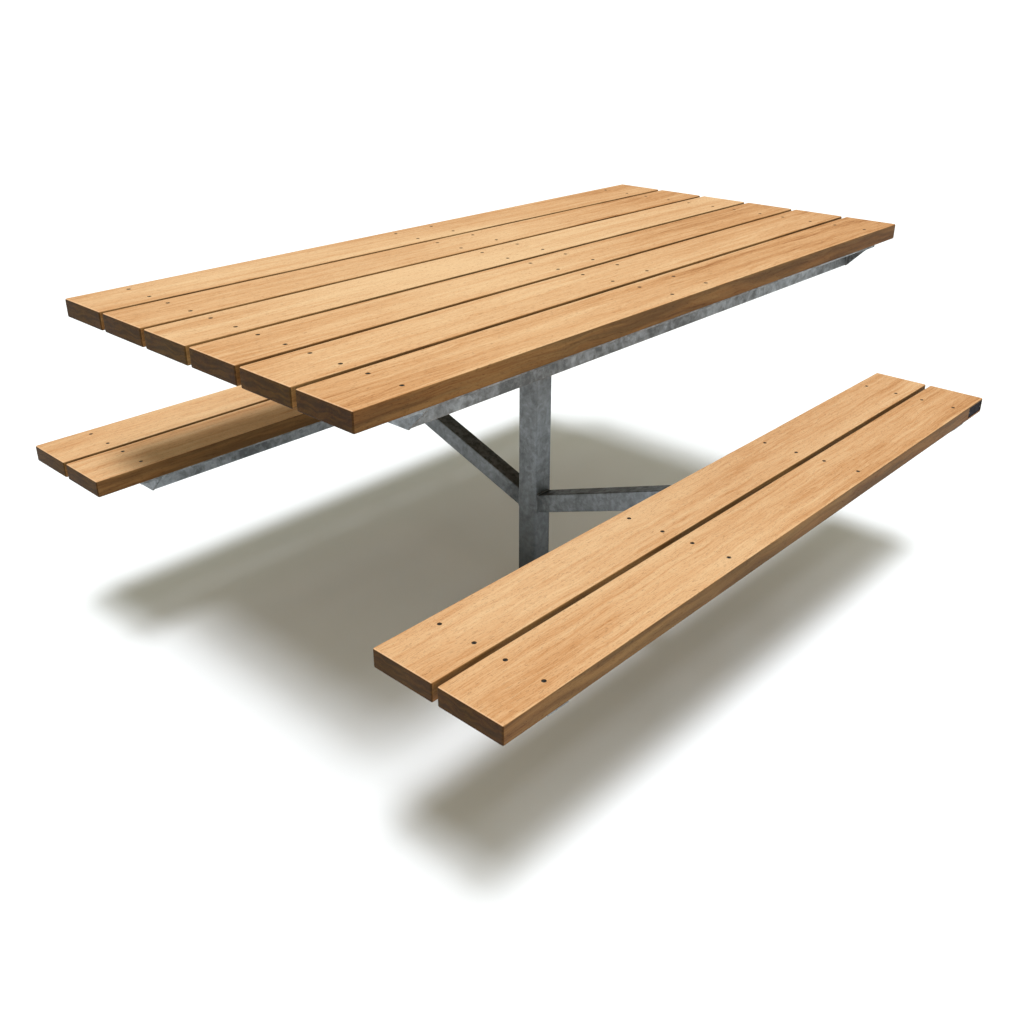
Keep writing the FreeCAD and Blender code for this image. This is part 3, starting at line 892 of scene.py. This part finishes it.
def washer_mesh(outer, bore, thickness):
    """Washer hanging down from the origin, with eased edges."""
    ease = 0.15 * thickness
    levels = [(bore, 0.0), (outer - ease, 0.0), (outer, -ease), (outer, ease - thickness),
              (outer - ease, -thickness), (bore, -thickness)]
    return turned(levels, ring_of_rings=True)


def add_hardware(name, mesh, material, node):
    """A group of fasteners that stands for a CAD group."""
    made = add_object(name, mesh, material)
    smooth(made, 35)
    as_piece(made, "fasteners", node)


def tops_of(boxes):
    """Places at the middle of each box's top."""
    return [Matrix.Translation(((low.x + high.x) / 2, (low.y + high.y) / 2, high.z)) for low, high in boxes]


def make_screws(dark, bright):
    """Plank screws with their washers and lock nuts."""
    for top in ("table", *BENCHES):
        boxes = islands(top + "_screws")
        length = boxes[0][1].z - boxes[0][0].z
        single = add_object("single_screw", screw_mesh(length))
        cut_away(single, socket_cutter())
        shape = bmesh.new()
        shape.from_mesh(single.data)
        bpy.data.objects.remove(single)
        add_hardware(top + "_sunk_screws", repeated(shape, tops_of(boxes)), dark, top + "_screws")
        for kind, piece_name in (("_screw_washers", "_washers"), ("_screw_nuts", "_lock_nuts")):
            boxes = islands(top + kind)
            size = boxes[0][1] - boxes[0][0]
            bore = SCREW_RADIUS + BORE_CLEARANCE
            if kind == "_screw_nuts":
                mesh = nut_mesh(min(size.x, size.y), size.z, bore)
            else:
                mesh = washer_mesh(size.x / 2, bore, size.z)
            add_hardware(top + piece_name, repeated(mesh, tops_of(boxes)), bright, top + kind)


def make_frame_bolts(bright):
    """Bolts, washers and lock nuts that clamp the middle bearers to the post."""
    bolts, nuts = islands("frame_bolts"), islands("frame_bolt_nuts")
    washers = islands("frame_bolt_washers")
    head_start = bolts[0][0].x
    head_height = washers[0][0].x - head_start
    length = bolts[0][1].x - head_start
    thickness = washers[0][1].x - washers[0][0].x
    washer_radius = (washers[0][1].z - washers[0][0].z) / 2
    flats = min(nuts[0][1].y - nuts[0][0].y, nuts[0][1].z - nuts[0][0].z)
    corner = flats / math.sqrt(3)
    bore = BOLT_RADIUS + BORE_CLEARANCE
    lying = Matrix.Rotation(math.radians(-90), 4, "Y")

    def left_ends(boxes):
        return [Matrix.Translation((low.x, (low.y + high.y) / 2, (low.z + high.z) / 2)) @ lying
                for low, high in boxes]

    thread = threaded(BOLT_RADIUS, BOLT_THREAD_SHOWING - length, -length, BOLT_THREAD_PITCH,
                      BOLT_THREAD_DEPTH)
    head = [(0.93 * flats / 2, 0.0), (corner, -0.8 * MM), (corner, 0.2 * MM - head_height),
            (0.98 * flats / 2, -head_height), (BOLT_RADIUS, -head_height)]
    bolt = turned(list(reversed(head + thread)), hexagon(flats))
    nut = nut_mesh(flats, nuts[0][1].x - nuts[0][0].x, bore)
    washer = washer_mesh(washer_radius, bore, thickness)
    add_hardware("frame_hex_bolts", repeated(bolt, left_ends(bolts)), bright, "frame_bolts")
    add_hardware("frame_lock_nuts", repeated(nut, left_ends(nuts)), bright, "frame_bolt_nuts")
    add_hardware("frame_washers", repeated(washer, left_ends(washers)), bright, "frame_bolt_washers")


# ---------------------------------------------------------------- floor, light and camera

FLOOR_REACH = 200.0
FLOOR_GREYS = ((0.81, 0.81, 0.81), (0.83, 0.83, 0.83))
# the way each lamp shines, and its strength
LAMPS = (((0.161, 0.260, -1.0), 1.64), ((0.304, 0.336, -1.0), 1.63), ((0.237, 0.521, -1.0), 0.33))
LAMP_COLOUR = (1.0, 1.05, 1.12)
LAMP_ANGLE = 13.0
SKY_COLOUR = (1.0, 1.0, 0.81)
SKY_STRENGTH = 0.44
PAPER_COLOUR = (1.0, 1.0, 1.0)
CAMERA_PLACE = (-1.540, -1.364, 1.283)
CAMERA_DOWN = 24.59              # degrees below level
CAMERA_HEADING = 42.89           # degrees from +X towards +Y
CAMERA_LENS = 36.86
CAMERA_SHIFT_UP = -0.044


def make_floor():
    """Plain pale floor."""
    reach = FLOOR_REACH
    mesh = bmesh.new()
    corners = [(-reach, -reach, 0), (reach, -reach, 0), (reach, reach, 0), (-reach, reach, 0)]
    mesh.faces.new([mesh.verts.new(corner) for corner in corners])
    material, g = new_material("floor")
    where = g.node("ShaderNodeTexCoord").outputs["Object"]
    tone = g.noise(where, 3.0, 3.0, 0.5)
    base = g.ramp(tone, [(0.3, FLOOR_GREYS[0]), (0.7, FLOOR_GREYS[1])])
    finish_material(g, {"Base Color": base, "Roughness": 0.9, "Specular IOR Level": 0.1})
    add_object("floor", mesh, material)


def make_light():
    """Soft lamps high at the front left, and an even sky in front of white paper."""
    for direction, energy in LAMPS:
        data = bpy.data.lights.new("key", "SUN")
        data.energy = energy
        data.color = LAMP_COLOUR
        data.angle = math.radians(LAMP_ANGLE)
        key = bpy.data.objects.new("key", data)
        key.rotation_mode = "QUATERNION"
        key.rotation_quaternion = Vector(direction).to_track_quat("-Z", "Y")
        bpy.context.scene.collection.objects.link(key)

    world = bpy.data.worlds.new("studio")
    world.use_nodes = True
    world.node_tree.nodes.clear()
    g = Graph(world.node_tree)
    seen = g.node("ShaderNodeLightPath").outputs["Is Camera Ray"]
    sky = g.node("ShaderNodeBackground", {"Color": opaque(SKY_COLOUR), "Strength": SKY_STRENGTH})
    paper = g.node("ShaderNodeBackground", {"Color": opaque(PAPER_COLOUR), "Strength": 1.0})
    both = g.node("ShaderNodeMixShader", {0: seen, 1: sky.outputs[0], 2: paper.outputs[0]})
    output = g.node("ShaderNodeOutputWorld")
    world.node_tree.links.new(both.outputs[0], output.inputs["Surface"])
    bpy.context.scene.world = world
    bpy.context.scene.view_settings.view_transform = "Standard"


def make_camera():
    """Camera at the front left, looking down across the table."""
    data = bpy.data.cameras.new("camera")
    data.sensor_width = 36.0
    data.lens = CAMERA_LENS
    data.shift_y = CAMERA_SHIFT_UP
    camera = bpy.data.objects.new("camera", data)
    camera.location = CAMERA_PLACE
    tilt, turn = math.radians(90 - CAMERA_DOWN), math.radians(CAMERA_HEADING - 90)
    camera.rotation_euler = Euler((tilt, 0.0, turn))
    bpy.context.scene.collection.objects.link(camera)
    bpy.context.scene.camera = camera


make_floor()
make_light()
make_camera()
make_timber()
make_plate()
dress_steel()
make_welds()
# the screw heads' steel is darkened for tarnish and as painted shade in their sunk holes
make_screws(worn_steel("tarnished_and_shaded_screws", 0.35), worn_steel("bright_hardware"))
make_frame_bolts(worn_steel("frame_hardware"))
